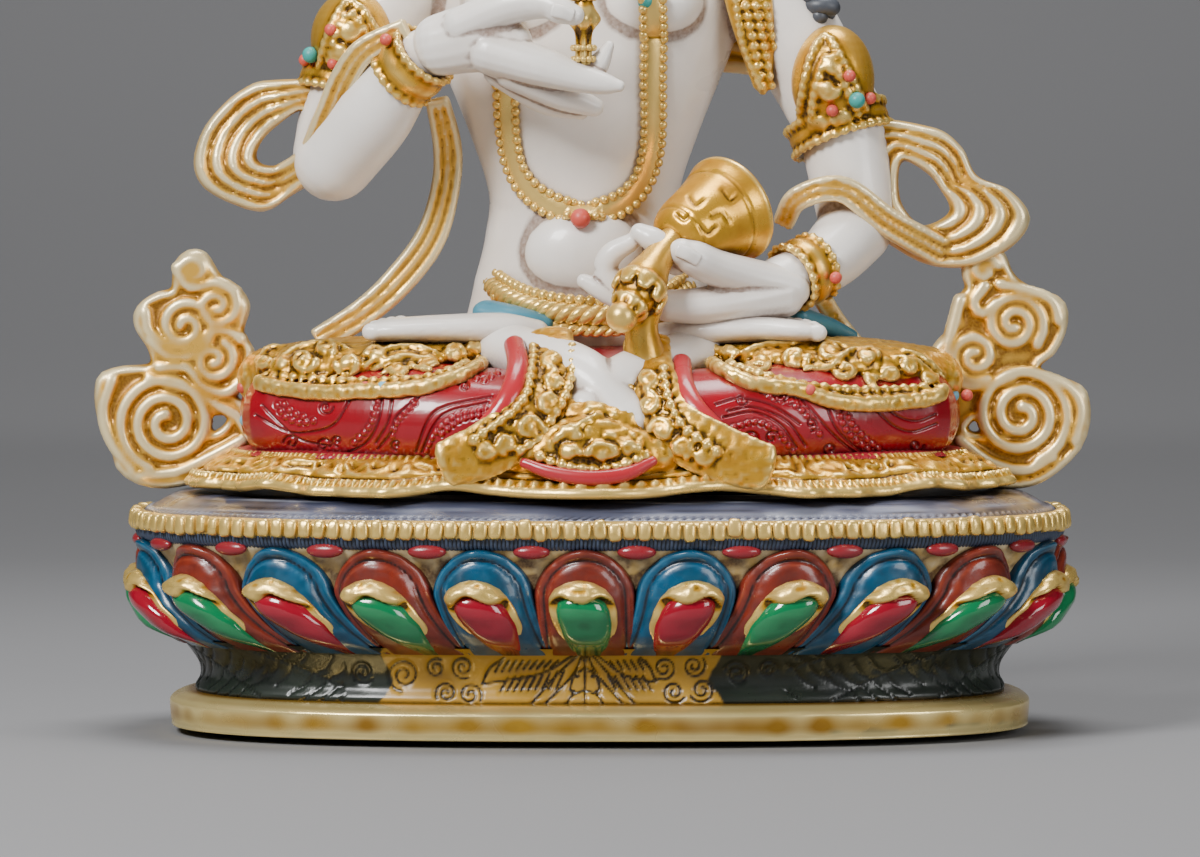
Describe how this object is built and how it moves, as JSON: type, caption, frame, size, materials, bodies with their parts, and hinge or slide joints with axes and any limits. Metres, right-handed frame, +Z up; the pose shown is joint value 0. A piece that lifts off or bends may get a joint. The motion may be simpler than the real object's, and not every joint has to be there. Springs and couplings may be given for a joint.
{
  "type": "vajrasattva statue",
  "caption": "Painted cast resin statue of Vajrasattva, seated cross-legged on a lotus pedestal, one hand raised to the chest with a vajra and the other in the lap with a bell.",
  "frame": {"origin": "middle of the pedestal's underside, on the surface it stands on", "axes": "+Z up, -Y towards the viewer, +X to the viewer's right"},
  "size_m": [0.1601, 0.0936, 0.207],
  "materials": {
    "pedestal_paint": "semi-gloss blue enamel over cast resin, worn at the foot",
    "pearl_skin": "pearl white semi-gloss paint over cast resin, brown wash in the creases",
    "antique_gold": "antiqued gold paint, dark brown in the recesses",
    "crimson_cloth": "glossy crimson paint over carved cloth",
    "pink_cloth": "pinkish red paint over carved cloth",
    "teal_cloth": "teal blue paint over carved cloth",
    "black_hair": "black paint over carved hair",
    "coral": "glued coral-coloured bead",
    "sky_blue": "glued light blue bead",
    "turquoise": "glued turquoise-coloured bead"
  },
  "bodies": {
    "root": {"belt_bead_1": "coral", "belt_bead_2": "turquoise", "crown_bead_1": "turquoise", "crown_bead_2": "coral", "crown_bead_3": "coral", "left_armlet_bead_1": "coral", "left_armlet_bead_2": "turquoise", "left_armlet_bead_3": "coral", "left_armlet_bead_4": "coral", "left_bracelet_bead_1": "coral", "left_knee_back_bead_1": "coral", "left_knee_back_bead_2": "sky_blue", "left_knee_bead_1": "coral", "left_knee_bead_2": "sky_blue", "left_knee_bead_3": "coral", "left_knee_end_bead_1": "coral", "left_knee_end_bead_2": "sky_blue", "left_knee_end_bead_3": "coral", "lotus_pedestal": "pedestal_paint", "necklace_bead_1": "coral", "necklace_bead_2": "turquoise", "right_armlet_bead_1": "coral", "right_armlet_bead_2": "turquoise", "right_armlet_bead_3": "coral", "right_armlet_bead_4": "coral", "right_bracelet_bead_1": "coral", "right_knee_back_bead_1": "sky_blue", "right_knee_back_bead_2": "coral", "right_knee_bead_1": "coral", "right_knee_bead_2": "sky_blue", "right_knee_bead_3": "coral", "right_knee_end_bead_1": "coral", "right_knee_end_bead_2": "sky_blue", "right_knee_end_bead_3": "coral", "seated_figure": "pearl_skin"}
  },
  "joints": []
}
